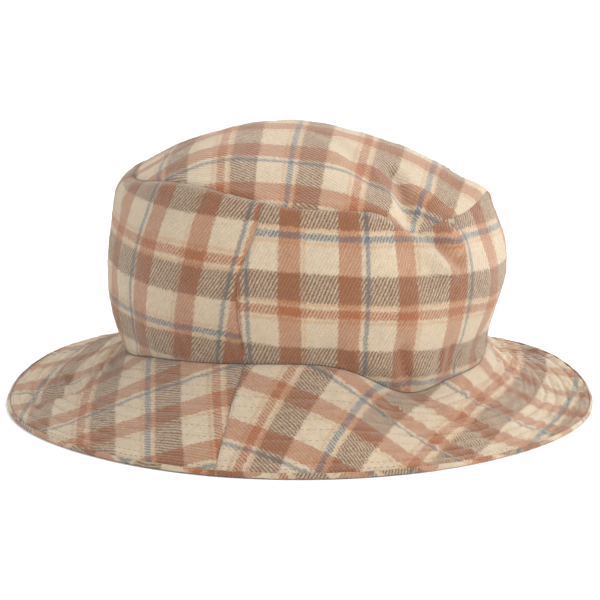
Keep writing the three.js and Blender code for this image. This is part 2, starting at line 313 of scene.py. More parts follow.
def side_relief(angle, t, points):
    """What only the crown's outer cloth does: its seams, and fine wrinkles near them."""
    from_tip, from_head = SIDE_RUN_BY_TIP * (1 - t), SIDE_RUN_BY_HEAD * t
    relief = seam_edge(from_side_seam(side, angle, t)) + seam_edge(from_tip, TIP_SEAM_DEPTH)
    relief = relief + seam_edge(from_head)
    near_seams = np.exp(-from_tip / 9) + np.exp(-from_head / 9)
    wrinkles = 0.5 * near_seams * ripple(points, 8, 5)
    wrinkles = wrinkles * held_by_seam(from_tip * 2) * held_by_seam(from_head * 2)
    return np.maximum(relief + wrinkles, DEEPEST)


def tip_relief(angle, t, points):
    """The tip's outer cloth does the same along its seam, which is alike at every angle."""
    inset = TIP_RUN * (1 - t)
    wrinkles = 0.3 * np.exp(-inset / 8) * held_by_seam(inset * 2) * ripple(points, 8, 6)
    return np.maximum(seam_edge(inset, TIP_SEAM_DEPTH) + wrinkles, DEEPEST)


GROOVE_HALF_WIDTH = 0.8
HEM_PLACE = 1.9  # where the top cloth's edge is drawn in against the rolled rim, in from the rim


def row_groove(inset):
    """How much of a stitch row's groove is at this distance in from the rim, from 0 to 1."""
    row = np.clip(np.round(inset / ROW_PITCH), 1, ROW_COUNT)
    return np.exp(-(((inset - row * ROW_PITCH) / GROOVE_HALF_WIDTH) ** 2))


def pillow(inset):
    """How far the cloth is from a stitch row on either side, from 0 at a row to 1 midway."""
    return np.sin(np.pi * inset / ROW_PITCH) ** 2


def brim_relief(angle, t, points):
    """Stitch rows draw the brim's cloth in, and it puffs and puckers between them."""
    inset, from_head = BRIM_WIDTH * (1 - t), BRIM_WIDTH * t
    facing = np.cos(np.radians(angle + 8))
    strength = 0.3 + 0.5 * np.abs(facing) + 0.8 * np.maximum(facing, 0)
    pucker = ripple(points, 9, 7) * 0.4 + ripple(points, 5, 8) * 0.12
    relief = strength * (pillow(inset) * (0.25 + pucker) - 0.55 * row_groove(inset))
    relief = relief * held_by_seam(from_head) + seam_edge(from_side_seam(brim, angle, t))
    relief = relief + seam_edge(from_head)
    hem = np.exp(-((inset - HEM_PLACE) ** 2))
    return np.maximum(relief - 0.5 * hem, DEEPEST_IN_BRIM)


RELIEF = {side: side_relief, tip: tip_relief, brim: brim_relief}


def layer(surface, angle, t, depth, relief=False):
    """Points of one face of a cloth layer, at its depth inside the hat's outer surface."""
    points = surface(angle, t)
    out = folds(surface, points, t) - depth
    if relief:
        out = out + RELIEF[surface](angle, t, points)
        return points + facing_out(surface, angle, t) * out[..., None]
    return points + square_to(surface, angle, t) * out[..., None]


# ---- meshes ------------------------------------------------------------------------------------


def quads_between(sections, count, closed):
    """Quads between neighbouring sections of points, each of which runs all the way round."""
    index = np.arange(sections * count).reshape(sections, count)
    here = index if closed else index[:-1]
    after = np.roll(index, -1, axis=0) if closed else index[1:]
    quads = np.stack([here, after, np.roll(after, -1, axis=1), np.roll(here, -1, axis=1)], axis=-1)
    return quads.reshape(-1, 4)


def solid(name, points, cloth, closed):
    """A closed body made of sections of points, one for each column, capped where it is open."""
    sections, count, _ = points.shape
    quads = quads_between(sections, count, closed)
    verts = points.reshape(-1, 3) * MM
    mesh = bpy.data.meshes.new(name)
    mesh.from_pydata(verts.tolist(), [], quads.tolist())
    lay_out(mesh, cloth.reshape(-1, 2))
    if not closed:
        cap_ends(mesh, sections, count)
    return finished(name, mesh)


def lay_out(mesh, cloth):
    """Gives the mesh its place on the flat cloth, in millimetres, as its UV map."""
    corners = np.empty(len(mesh.loops), dtype=np.int64)
    mesh.loops.foreach_get("vertex_index", corners)
    mesh.uv_layers.new(name="cloth").data.foreach_set("uv", cloth[corners].astype(np.float32).ravel())


def cap_ends(mesh, sections, count):
    """Closes both ends of a panel with strips across its thickness."""
    body = bmesh.new()
    body.from_mesh(mesh)
    body.verts.ensure_lookup_table()
    flat = body.loops.layers.uv.active
    for start in (0, (sections - 1) * count):
        for k in range(count // 2 - 1):
            ring = [start + k, start + k + 1, start + count - 2 - k, start + count - 1 - k]
            face = body.faces.new([body.verts[i] for i in ring])
            for corner in face.loops:
                corner[flat].uv = corner.vert.link_loops[0][flat].uv
    body.to_mesh(mesh)
    body.free()


def finished(name, mesh):
    """Welds a mesh, turns its faces outward, smooths its shading and shows it."""
    body = bmesh.new()
    body.from_mesh(mesh)
    bmesh.ops.remove_doubles(body, verts=body.verts, dist=1e-7)
    bmesh.ops.recalc_face_normals(body, faces=body.faces)
    body.to_mesh(mesh)
    body.free()
    mesh.polygons.foreach_set("use_smooth", np.ones(len(mesh.polygons), dtype=bool))
    piece = bpy.data.objects.new(name, mesh)
    bpy.context.scene.collection.objects.link(piece)
    return piece


def dress(piece, material, nodes, body="hat"):
    """Gives a piece its material and its body, and hides the CAD nodes that it stands for."""
    piece.data.materials.append(material)
    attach(piece, body)
    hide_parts(*nodes)
    return piece


# ---- the cloth's own coordinates ---------------------------------------------------------------


def steps(points, axis):
    """Length of every step along one axis of a grid of points, added up from its start."""
    lengths = np.linalg.norm(np.diff(points, axis=axis), axis=-1)
    pad = [(0, 0), (0, 0)]
    pad[axis] = (1, 0)
    return np.cumsum(np.pad(lengths, pad), axis=axis)


def turned(x, y, turn, shift):
    """Turns and shifts places on the flat cloth, so that its stripes fall where they should."""
    cos, sin = math.cos(math.radians(turn)), math.sin(math.radians(turn))
    return np.stack([cos * x - sin * y + shift[0], sin * x + cos * y + shift[1]], axis=-1)


LEVEL_LINE = 80


def side_cloth(points, warp_turn=0, weft_turn=0, ease=1, shift=(0, 0)):
    """The side's cloth is laid out from a level line round its middle, and up and down square to it."""

    def on_line(values):
        rows = zip(points[..., 2], values)
        return np.array([np.interp(LEVEL_LINE, heights, row) for heights, row in rows])

    line = np.stack([on_line(points[..., k]) for k in range(3)], axis=-1)
    around = steps(line[:, None], 0)[:, 0]
    ring = unit(np.gradient(points, axis=0) * [1, 1, 0])
    rise = np.diff(points, axis=1)
    drift = np.sum(rise * ring[:, 1:], axis=-1)
    climb = np.sqrt(np.maximum(np.sum(rise**2, axis=-1) - drift**2, 1e-9))
    drift, climb = (np.cumsum(np.pad(part, [(0, 0), (1, 0)]), axis=1) for part in (drift, climb))
    x = (around - around[len(around) // 2] - on_line(drift))[:, None] + drift
    y = climb - on_line(climb)[:, None]
    warp, weft = turned(x, y, warp_turn, shift), turned(x, y * ease, weft_turn, shift)
    return np.stack([warp[..., 0], weft[..., 1]], axis=-1)


BRIM_CUT_RADIUS = 110  # of the head seam on the brim's flat pattern


def brim_cloth(points, turn, shift):
    """Each half of the brim is cut as a flat crescent, with its warp along the crescent's middle."""
    around = steps(points, 0)[:, :1]
    bend = (around - around[len(around) // 2]) / BRIM_CUT_RADIUS
    reach = BRIM_CUT_RADIUS + steps(points, 1)
    return turned(-reach * np.sin(bend), reach * np.cos(bend), turn, shift)


def tip_cloth(angle, points, turn, shift):
    """The tip is one flat oval, with its warp along the hat's length."""
    away = points - points[:, :1]
    bearing = np.arctan2(away[:, -1:, 1], away[:, -1:, 0])
    reach = steps(points, 1)
    return turned(-reach * np.sin(bearing), reach * np.cos(bearing), turn, shift)


# ---- cloth panels ------------------------------------------------------------------------------

# Each side panel: turn of its warp, turn of its weft, ease and shift. The back one is pulled askew.
SIDE_CUTS = {"front": (-0.2, 4.0, 0.935, (47.2, 47.1)), "back": (193.8, 182.0, 0.906, (34.2, 60))}
BRIM_CUTS = {"front": (2.5, (47.7, 61.4)), "back": (180.5, (37.1, 3.5))}
TIP_CUT = (5.2, (27.4, 61.4))


SEAM_GAP = 0.01  # degrees between each panel's edge and the side seam it is sewn along

# Columns of points round the hat: between the side seams of a half panel, or all the way round.
SIDE_COLUMNS, BRIM_COLUMNS, INNER_COLUMNS = 260, 340, 200
TIP_COLUMNS, TIP_LINING_COLUMNS, BAND_COLUMNS = 420, 300, 460


def spread(*runs):
    """Places across a surface, in evenly spaced runs given as (first, last, how many)."""
    return np.concatenate([np.linspace(*run) for run in runs])


def panel_grid(surface, half, across, columns):
    """Angles and t of a half panel between the two side seams."""
    t = np.broadcast_to(across, (columns, len(across)))
    start = seam_angle(surface, t) + (0 if half == "front" else 180)
    share = np.linspace(0, 1, columns)[:, None]
    return start + SEAM_GAP + share * (180 - 2 * SEAM_GAP), t


def ring_grid(across, columns):
    """Angles and t of a whole turn round the hat, without a repeat at its end."""
    angle = SIDE_SEAM + 360 * np.arange(columns)[:, None] / columns
    return np.broadcast_arrays(angle, across)


def shell(name, outer, inner, cloth, closed=False):
    """A cloth panel with an outer and an inner face, each a grid of columns by rows."""
    points = np.concatenate([outer, inner[:, ::-1]], axis=1)
    return solid(name, points, np.concatenate([cloth, cloth[:, ::-1]], axis=1), closed)


NAP_PER_SQUARE_CM = 45
NAP_RADIUS = 0.07
NAP_SHORTEST, NAP_LONGEST = 0.5, 1.5
NAP_ROOT_DEPTH = 0.15
NAP_SCATTER = 0.75  # how far fibres lean away from straight up
NAP_LEAST_RISE = 0.35  # of a fibre's length, so that none lies flat
SQUARE_CM = 100  # in square millimetres


def spikes(rng, roots, up):
    """Thin three-sided spikes that lean at random: three corners of their base, and then their tip."""
    count = len(roots)
    lean = unit(up + NAP_SCATTER * rng.normal(size=(count, 3)))
    lean = lean + up * np.maximum(0, NAP_LEAST_RISE - np.sum(lean * up, axis=-1, keepdims=True))
    sides = [unit(np.cross(lean, rng.normal(size=(count, 3)))) for _ in range(2)]
    corners = [sides[0], sides[1], -sides[0] - sides[1]]
    base = [roots - NAP_ROOT_DEPTH * up + NAP_RADIUS * corner for corner in corners]
    tips = roots + lean * rng.uniform(NAP_SHORTEST, NAP_LONGEST, (count, 1))
    points = np.stack([*base, tips], axis=1)
    points[..., 2] = np.maximum(points[..., 2], 0)
    return points


def nap(name, face, back, cloth, material, seed):
    """Loose fibres of the brushed nap on one face of a panel: thin spikes rooted in its cloth."""
    rng = np.random.default_rng(seed)
    around, across = np.diff(face, axis=0)[:, :-1], np.diff(face, axis=1)[:-1]
    normals = np.cross(around, across)
    room = np.linalg.norm(normals, axis=-1)
    outward = np.sign(np.sum(normals * (face - back)[:-1, :-1], axis=-1, keepdims=True))
    count = int(room.sum() / SQUARE_CM * NAP_PER_SQUARE_CM)
    cell = rng.choice(room.size, count, p=room.ravel() / room.sum())
    i, j = np.unravel_index(cell, room.shape)
    a, b = rng.random((2, count, 1))
    roots = face[i, j] + a * around[i, j] + b * across[i, j]
    points = spikes(rng, roots, unit(normals * outward)[i, j])
    faces = np.arange(count)[:, None, None] * 4 + np.array([[0, 2, 1], [0, 1, 3], [1, 2, 3], [2, 0, 3]])
    mesh = bpy.data.meshes.new(name)
    mesh.from_pydata((points.reshape(-1, 3) * MM).tolist(), [], faces.reshape(-1, 3).tolist())
    lay_out(mesh, np.repeat(cloth[i, j], 4, axis=0))
    return dress(finished(name, mesh), material, [])


def crown_side(half, material):
    across = spread((0, 0.06, 12), (0.07, 0.93, 76), (0.94, 1, 12))
    angle, t = panel_grid(side, half, across, SIDE_COLUMNS)
    cloth = side_cloth(layer(side, angle, t, 0), *SIDE_CUTS[half])
    outer, inner = layer(side, angle, t, 0, relief=True), layer(side, angle, t, FLANNEL)
    nap(f"crown_side_nap_{half}", outer, inner, cloth, material, 21)
    piece = shell(f"crown_side_cloth_{half}", outer, inner, cloth)
    return dress(piece, material, [f"crown_side_{half}"])


def crown_tip(material):
    across = spread((0, 0, 1), (0.015, 0.93, 62), (0.94, 1, 12))
    angle, t = ring_grid(across, TIP_COLUMNS)
    cloth = tip_cloth(angle, layer(tip, angle, t, 0), *TIP_CUT)
    outer, inner = layer(tip, angle, t, 0, relief=True), layer(tip, angle, t, FLANNEL)
    nap("crown_tip_nap", outer, inner, cloth, material, 22)
    piece = shell("crown_tip_cloth", outer, inner, cloth, closed=True)
    return dress(piece, material, ["crown_tip"])


def brim_rows(first, last):
    """Insets from the rim for a brim grid, closer together beside each stitch row."""
    beside = np.array([-0.9, -0.45, 0, 0.45, 0.9, 1.7, 2.6, 3.5, 4.4, 5.3])
    insets = (np.arange(0, 11)[:, None] * ROW_PITCH + beside).ravel()
    insets = insets[(insets > first + 0.3) & (insets < last - 0.3)]
    return np.concatenate([[last], insets[::-1], [first]])


def below(points, depth):
    """The same points lower down, and no lower than the surface the hat stands on."""
    lower = points.copy()
    lower[..., 2] = np.maximum(lower[..., 2] - depth, 0)
    return lower


TOP_CLOTH_INSET, INTERLINING_INSET = 1.7, 1.8
INTERLINING_TOP, INTERLINING_BOTTOM = 1.1, 1.6  # below the brim's surface


def brim_top(half, material):
    across = 1 - brim_rows(TOP_CLOTH_INSET, BRIM_WIDTH) / BRIM_WIDTH
    angle, t = panel_grid(brim, half, across, BRIM_COLUMNS)
    cloth = brim_cloth(brim(angle, t), *BRIM_CUTS[half])
    outer = layer(brim, angle, t, 0, relief=True)
    inner = below(layer(brim, angle, t, 0), BRIM_FLANNEL)
    nap(f"brim_top_nap_{half}", outer, inner, cloth, material, 23)
    piece = shell(f"brim_top_cloth_{half}", outer, inner, cloth)
    return dress(piece, material, [f"brim_top_{half}"])


FACING_CUTS = {"front": (4, (20, 33)), "back": (182, (51, 12))}
ROLL = BRIM_THICKNESS / 2
ROLL_INSIDE = ROLL - BRIM_FLANNEL
ROLL_STEPS = 11


def quilted_under(angle, t, points):
    """How far the brim's underside puffs out between its stitch rows."""
    inset = BRIM_WIDTH * (1 - t)
    puff = pillow(inset) * (0.2 + 0.3 * ripple(points, 9, 9)) - 0.45 * row_groove(inset)
    return puff * held_by_seam(inset - ROLL) + seam_edge(from_side_seam(brim, angle, t))


def rolled_up(flat, radius, depth, tucked_in, tucked_depth):
    """Insets and depths of a face of the facing: flat, then round the rim, then tucked under the top."""
    turn = np.linspace(0, np.pi, ROLL_STEPS)[1:]
    insets = np.concatenate([flat, ROLL - radius * np.sin(turn), [ROLL + tucked_in]])
    depths = np.concatenate([np.full(len(flat), depth), ROLL + radius * np.cos(turn), [tucked_depth]])
    return insets, depths


def brim_under(half, material):
    """The facing lies under the brim, and its edge rolls up round the rim to the top cloth."""
    flat = brim_rows(ROLL, BRIM_WIDTH)
    insets, depths = rolled_up(flat, ROLL, BRIM_THICKNESS, tucked_in=0.25, tucked_depth=0.45)
    angle, t = panel_grid(brim, half, 1 - insets / BRIM_WIDTH, BRIM_COLUMNS)
    skin = layer(brim, angle, t, 0)
    puff = quilted_under(angle, t, skin)
    puff[:, len(flat):] = 0.12 * ripple(skin[:, len(flat):], 6, 11)
    outer = below(skin, depths + puff)
    inside = BRIM_THICKNESS - BRIM_FLANNEL
    insets, depths = rolled_up(flat, ROLL_INSIDE, inside, tucked_in=0.2, tucked_depth=0.85)
    angle, t = panel_grid(brim, half, 1 - insets / BRIM_WIDTH, BRIM_COLUMNS)
    inner = below(layer(brim, angle, t, 0), depths)
    cloth = brim_cloth(outer, *FACING_CUTS[half])
    nap(f"brim_under_nap_{half}", outer, inner, cloth, material, 24)
    piece = shell(f"brim_under_cloth_{half}", outer, inner, cloth)
    return dress(piece, material, [f"brim_facing_{half}"])


def interlining(half, material):
    across = 1 - np.linspace(BRIM_WIDTH, INTERLINING_INSET, 60) / BRIM_WIDTH
    angle, t = panel_grid(brim, half, across, INNER_COLUMNS)
    plain = layer(brim, angle, t, 0)
    upper, lower = below(plain, INTERLINING_TOP), below(plain, INTERLINING_BOTTOM)
    piece = shell(f"brim_interlining_{half}", upper, lower, brim_cloth(plain, 0, (0, 0)))
    return dress(piece, material, [f"brim_stiffener_{half}"])


def lining_side(half, material):
    across = np.concatenate([np.linspace(0.012, 0.95, 62), [0.965, 0.978, 0.988, 0.995, 0.999]])
    angle, t = panel_grid(side, half, across, INNER_COLUMNS)
    outer = layer(side, angle, t, LINING_DEPTH)
    slack = 0.35 * (1 + ripple(outer, 13, 12))
    slack = slack * held_by_seam(SIDE_RUN_BY_HEAD * (t - BAND_TOP))
    slack = slack * held_by_seam(SIDE_RUN_BY_HEAD * (1 - t))
    inner = layer(side, angle, t, LINING_DEPTH + LINING + slack)
    piece = shell(f"lining_side_cloth_{half}", outer, inner, side_cloth(outer))
    return dress(piece, material, [f"lining_side_{half}"])


LINING_TIP_EDGE = 0.99  # t where the tip's lining meets the side's


def lining_tip(material):
    angle, t = ring_grid(spread((0, 0, 1), (0.02, LINING_TIP_EDGE, 57)), TIP_LINING_COLUMNS)
    outer = layer(tip, angle, t, LINING_DEPTH)
    slack = 0.5 * (1 + ripple(outer, 15, 13)) * held_by_seam(TIP_RUN * (LINING_TIP_EDGE - t))
    inner = layer(tip, angle, t, LINING_DEPTH + LINING + slack)
    piece = shell("lining_tip_cloth", outer, inner, tip_cloth(angle, outer, 0, (0, 0)), closed=True)
    return dress(piece, material, ["lining_tip"])


def sweatband(material):
    """One strip of twill tape whose ends all but meet at the back."""
    around = 180 + np.linspace(0.13, 359.87, BAND_COLUMNS)[:, None]
    angle, t = np.broadcast_arrays(around, np.linspace(0.012, BAND_TOP, 34))
    edge = seam_edge(SIDE_RUN_BY_HEAD * (BAND_TOP - t), 0.25, 0.6)
    outer = layer(side, angle, t, BAND_DEPTH)
    sway = 0.18 * (1 + ripple(outer, 20, 14))
    inner = layer(side, angle, t, BAND_DEPTH + BAND + sway + edge * 0.5)
    piece = shell("sweatband_tape", outer, inner, side_cloth(outer))
    return dress(piece, material, ["sweatband"])


# ---- size label --------------------------------------------------------------------------------

LABEL_WIDTH, LABEL_DROP = 20, 16
LABEL_PLY = 0.4  # from the fold's middle to the middle of each ply
PLY_SHARE = 0.42  # half a ply's thickness, as a share of LABEL_PLY
LABEL_CURL = 0.5


def folded_loop():
    """The label's ribbon from the side: how far down it has run, and how far out it then lies."""
    straight = np.linspace(0, LABEL_DROP - 1.5 * LABEL_PLY, 26)
    bend = np.linspace(0, np.pi, 9)[1:-1]
    down = np.concatenate([straight, straight[-1] + LABEL_PLY * np.sin(bend), straight[::-1]])
    near, far = np.full(26, LABEL_PLY), np.full(26, -LABEL_PLY)
    return down, np.concatenate([near, LABEL_PLY * np.cos(bend), far])


def size_label(material):
    """A folded satin ribbon that hangs from its sewn top edge and curls a little at its corners."""
    hinge = np.array(frame["joints"][0]["pos_m"]) / MM
    low, high = (np.array(corner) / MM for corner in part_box("size_label"))
    middle = (low + high) / 2
    lean = math.atan2(middle[0] - hinge[0], hinge[2] - middle[2])
    down, out = folded_loop()
    across = np.linspace(-LABEL_WIDTH / 2, LABEL_WIDTH / 2, 31)
    down, across = np.meshgrid(down, across, indexing="ij")
    curl = LABEL_CURL * (down / LABEL_DROP) ** 2 * (2 * across / LABEL_WIDTH) ** 2

    def face(side_of_ply):
        away = out[:, None] * (1 + side_of_ply * PLY_SHARE) + curl
        x = hinge[0] + away * math.cos(lean) + down * math.sin(lean)
        z = hinge[2] + away * math.sin(lean) - down * math.cos(lean)
        return stack(x, hinge[1] + across, z)

    run = np.arange(len(down))[:, None] * 0.6
    cloth = np.stack(np.broadcast_arrays(across, run), axis=-1)
    piece = shell("size_label_ribbon", face(1), face(-1), cloth)
    return dress(piece, material, ["size_label"], body="label")


TACK_STITCHES = 26
TACK_RISE = 0.55  # over the label's sewn edge
ALONG_STITCH = np.linspace(-1, 1, 7)


def label_tack(material):
    """Close bar stitches that hold the label's sewn edge to the sweatband."""
    places = BAND_TOP - 0.013 + 0.006 * ALONG_STITCH
    angle, t = np.broadcast_arrays(np.linspace(176.2, 183.8, TACK_STITCHES)[:, None], places)
    middle = layer(side, angle, t, BAND_DEPTH + BAND + TACK_RISE)
    points = tubes(middle, -square_to(side, angle, t))
    return threads("label_tack_thread", points, material, ["label_tack"])


# ---- thread ------------------------------------------------------------------------------------

STITCH_LENGTH, STITCH_PITCH = 2.5, 3.3
THREAD_RADIUS = 0.24
SUNK_IN_NAP = 0.12
CLEAR_OF_FLOOR = 0.05
BAND_ROW = 0.05  # t on the crown's side of the row that sews the sweatband on


def all_round(place):
    """Angles close together round the hat, all at one t."""
    angle = np.linspace(-180, 180, 1800, endpoint=False)
    return angle, np.full_like(angle, place)


def stitched(name, path, up, material, nodes):
    """Lockstitches along a closed path: each one a short thread that dives into the cloth."""
    run = np.vstack([path, path[:1]])
    out = np.vstack([up, up[:1]])
    along = np.concatenate([[0], np.cumsum(np.linalg.norm(np.diff(run, axis=0), axis=1))])
    count = int(along[-1] / STITCH_PITCH)
    places = (np.arange(count) + 0.5)[:, None] * along[-1] / count + ALONG_STITCH * STITCH_LENGTH / 2
    middle = np.stack([np.interp(places, along, run[:, k]) for k in range(3)], axis=-1)
    lift = unit(np.stack([np.interp(places, along, out[:, k]) for k in range(3)], axis=-1))
    return threads(name, tubes(middle, lift), material, nodes)


def tubes(middle, lift):
    """Rings of points round each stitch, whose ends dive into the cloth."""
    across = np.cross(unit(np.gradient(middle, axis=1)), lift)
    middle = middle + lift * (0.02 - 0.5 * ALONG_STITCH**4)[:, None]
    radius = THREAD_RADIUS * np.sqrt(np.clip(1.05 - ALONG_STITCH**6, 0, 1))[:, None, None]
    turn = np.linspace(0, 2 * np.pi, 7)[:-1, None]
    ring = np.cos(turn) * across[:, :, None] + np.sin(turn) * lift[:, :, None]
    return middle[:, :, None] + ring * radius


def threads(name, points, material, nodes):
    """One mesh of many short closed tubes, given as stitch by station by ring of points."""
    count, stations, sides, _ = points.shape
    index = np.arange(count * stations * sides).reshape(count, stations, sides)
    near, far = index[:, :-1], index[:, 1:]
    quads = np.stack([near, np.roll(near, -1, axis=2), np.roll(far, -1, axis=2), far], axis=-1)
    caps = index[:, 0, ::-1].tolist() + index[:, -1].tolist()
    mesh = bpy.data.meshes.new(name)
    mesh.from_pydata((points.reshape(-1, 3) * MM).tolist(), [], quads.reshape(-1, 4).tolist() + caps)
    return dress(finished(name, mesh), material, nodes)


def brim_thread(name, inset, material, node):
    """One row of stitches through the brim: its needle thread on top and its bobbin thread below."""
    angle, t = all_round(1 - inset / BRIM_WIDTH)
    skin = layer(brim, angle, t, 0)
    top = layer(brim, angle, t, SUNK_IN_NAP, relief=True)
    up = square_to(brim, angle, t)
    stitched(name, top, up, material, [node])
    under = below(skin, BRIM_THICKNESS + quilted_under(angle, t, skin))
    under[:, 2] = np.maximum(under[:, 2], THREAD_RADIUS + CLEAR_OF_FLOOR)
    stitched(f"{name}_under", under, np.broadcast_to([0.0, 0.0, -1.0], under.shape), material, [])


def band_thread(material):
    angle, t = all_round(BAND_ROW)
    face = layer(side, angle, t, BAND_DEPTH + BAND + 0.25)
    stitched("sweatband_thread", face, -square_to(side, angle, t), material, ["sweatband_stitch"])


# ---- materials ---------------------------------------------------------------------------------


def linear(red, green, blue):
    """A colour given as display values from 0 to 255, as the shader wants it."""
    values = np.array([red, green, blue]) / 255
    values = np.where(values <= 0.04045, values / 12.92, ((values + 0.055) / 1.055) ** 2.4)
    return (*values.tolist(), 1.0)


class Graph:
    """Short words for wiring one material's nodes."""

    def __init__(self, name):
        self.material = bpy.data.materials.new(name)
        self.material.use_nodes = True
        self.nodes = self.material.node_tree.nodes
        self.links = self.material.node_tree.links
        self.shader = self.nodes["Principled BSDF"]

    def node(self, kind, *inputs, **settings):
        made = self.nodes.new(kind)
        for key, value in settings.items():
            setattr(made, key, value)
        for socket, value in zip(made.inputs, inputs):
            self.feed(socket, value)
        return made

    def feed(self, socket, value):
        if isinstance(value, bpy.types.NodeSocket):
            self.links.new(value, socket)
        elif value is not None:
            socket.default_value = value

    def math(self, operation, *values):
        return self.node("ShaderNodeMath", *values, operation=operation).outputs[0]

    def mix(self, factor, first, second, kind="MIX"):
        made = self.node("ShaderNodeMix", data_type="RGBA", blend_type=kind)
        self.feed(made.inputs[0], factor)
        self.feed(made.inputs[6], first)
        self.feed(made.inputs[7], second)
        return made.outputs[2]

    def noise(self, place, size, detail=2.0):
        """Noise whose blotches are about this size, from 0 to 1."""
        made = self.node("ShaderNodeTexNoise", noise_dimensions="3D")
        self.feed(made.inputs["Vector"], place)
        made.inputs["Scale"].default_value = 1 / size
        made.inputs["Detail"].default_value = detail
        return made.outputs["Fac"]

    def ramp(self, factor, stops):
        made = self.node("ShaderNodeValToRGB", factor)
        points = made.color_ramp.elements
        while len(points) < len(stops):
            points.new(0.5)
        for point, (position, colour) in zip(points, stops):
            point.position = position
            point.color = colour
        return made.outputs[0]

    def around_zero(self, value, spread):
        """A value from 0 to 1 turned into one from -spread / 2 to spread / 2."""
        return self.math("MULTIPLY_ADD", value, spread, -spread / 2)

    def lightness(self, colour):
        return self.node("ShaderNodeRGBToBW", colour).outputs[0]

    def on_cloth(self):
        """Places on the flat cloth in millimetres, and their two parts."""
        place = self.node("ShaderNodeUVMap", uv_map="cloth").outputs[0]
        parts = self.node("ShaderNodeSeparateXYZ", place).outputs
        return place, parts[0], parts[1]

    def grey(self, value):
        """The same value in all three channels."""
        return self.node("ShaderNodeCombineColor", value, value, value).outputs[0]

    def finish(self, colour, roughness, height, depth):
        """Colour, roughness and a bump of so many metres go into the shader."""
        self.feed(self.shader.inputs["Base Color"], colour)
        self.feed(self.shader.inputs["Roughness"], roughness)
        bump = self.node("ShaderNodeBump")
        bump.inputs["Distance"].default_value = depth
        self.feed(bump.inputs["Height"], height)
        self.feed(self.shader.inputs["Normal"], bump.outputs["Normal"])
        return self.material


CREAM = linear(184, 167, 143)
RUST = linear(141, 72, 28)
TAUPE = linear(95, 62, 42)
BLUE = linear(66, 88, 100)
PEACH = linear(172, 134, 98)
NAP = linear(200, 176, 146)

# The plaid's stripes in order across the cloth, each one a colour and its width.
WARP = [
    (RUST, 12), (CREAM, 2.2), (BLUE, 2.5), (CREAM, 15.3), (RUST, 12), (CREAM, 1.2), (PEACH, 1.3),
    (CREAM, 17.5),
]
WEFT = [
    (TAUPE, 14.5), (CREAM, 14), (PEACH, 2), (CREAM, 1), (RUST, 5), (CREAM, 1), (PEACH, 2), (TAUPE, 14.5),
    (CREAM, 14), (PEACH, 1.5), (CREAM, 1), (BLUE, 3.5), (CREAM, 1), (PEACH, 1.5),
]
STRIPE_EDGE = 0.5  # how far a stripe's colour runs softly into the next on either side
TWILL_PITCH = 1.9


def stripes(g, place, bands):
    """Colour of the stripe at a place across the cloth, with soft edges between stripes."""
    repeat = sum(width for _, width in bands)
    edge = STRIPE_EDGE / repeat
    stops, start = [], 0
    for colour, width in bands:
        end = start + width / repeat
        stops += [(start + edge, colour), (end - edge, colour)]
        start = end
    around = g.math("FRACT", g.math("DIVIDE", place, repeat))
    return g.ramp(around, stops)


def twill(g, u, v):
    """The twill's steep ribs, from -1 to 1."""
    across = g.math("DIVIDE", u, TWILL_PITCH)
    run = g.math("SUBTRACT", across, g.math("DIVIDE", v, 2 * TWILL_PITCH))
    return g.math("SINE", g.math("MULTIPLY", run, 2 * math.pi))


def crossing(g, warp, weft, wave, breaks):
    """Warp over weft: a mixture where they cross, with ribs that show where the weft is dark."""
    weft_light, warp_light = g.lightness(weft), g.lightness(warp)
    dark = g.math("SUBTRACT", 0.4, weft_light)
    strength = g.math("MULTIPLY", g.math("MULTIPLY_ADD", dark, 0.75, 0.1), breaks)
    weft_is_lighter = g.math("SUBTRACT", weft_light, warp_light)
    share = g.math("MULTIPLY_ADD", weft_is_lighter, 0.5, 0.5)
    return g.mix(g.math("MULTIPLY_ADD", wave, strength, share), weft, warp)


def along_fibres(g, cloth):
    """The cloth's places drawn out along its brushed fibres."""
    fibres = g.node("ShaderNodeMapping", cloth)
    fibres.inputs["Rotation"].default_value = (0, 0, 0.5)
    fibres.inputs["Scale"].default_value = (3, 0.7, 1)
    return fibres.outputs[0]


def mottle(g, cloth):
    """Unevenness of the dye and the nap, in blotches of three sizes, around 1."""
    wide = g.math("MULTIPLY_ADD", g.noise(cloth, 24), 0.2, 0.5)
    middling = g.math("MULTIPLY_ADD", g.noise(cloth, 3.2, 4), 0.35, wide)
    return g.math("MULTIPLY_ADD", g.noise(cloth, 0.8, 5), 0.55, middling)


def flannel():
    """Brushed plaid flannel: a steep twill of warp and weft stripes under a soft nap."""
    g = Graph("plaid_flannel")
    cloth, u, v = g.on_cloth()
    fuzz = g.around_zero(g.noise(cloth, 1.1, 5), 4.5)
    sway = g.around_zero(g.noise(cloth, 30), 2.0)
    u = g.math("ADD", g.math("ADD", u, fuzz), sway)
    v = g.math("SUBTRACT", g.math("ADD", v, fuzz), sway)
    wave = twill(g, u, v)
    breaks = g.math("MULTIPLY_ADD", g.noise(cloth, 1.6, 3), 2.4, -0.2)
    lint = g.noise(along_fibres(g, cloth), 1.0, 5)
    colour = crossing(g, stripes(g, u, WARP), stripes(g, v, WEFT), wave, breaks)
    colour = g.mix(1.0, colour, g.grey(mottle(g, cloth)), "MULTIPLY")
    colour = g.mix(g.math("MULTIPLY", lint, 0.17), colour, NAP)
    g.shader.inputs["Sheen Weight"].default_value = 0.5
    g.shader.inputs["Sheen Roughness"].default_value = 0.5
    g.shader.inputs["Sheen Tint"].default_value = (1, 0.92, 0.82, 1)
    g.shader.inputs["Specular IOR Level"].default_value = 0.1
    ridge = g.math("MULTIPLY", g.math("MULTIPLY", wave, breaks), 0.22)
    nap = g.math("ADD", ridge, g.math("ADD", g.noise(cloth, 0.7, 4), lint))
    return g.finish(colour, 0.95, nap, 0.0006)


SATIN_PITCH, SELVEDGE = 0.35, 1.1


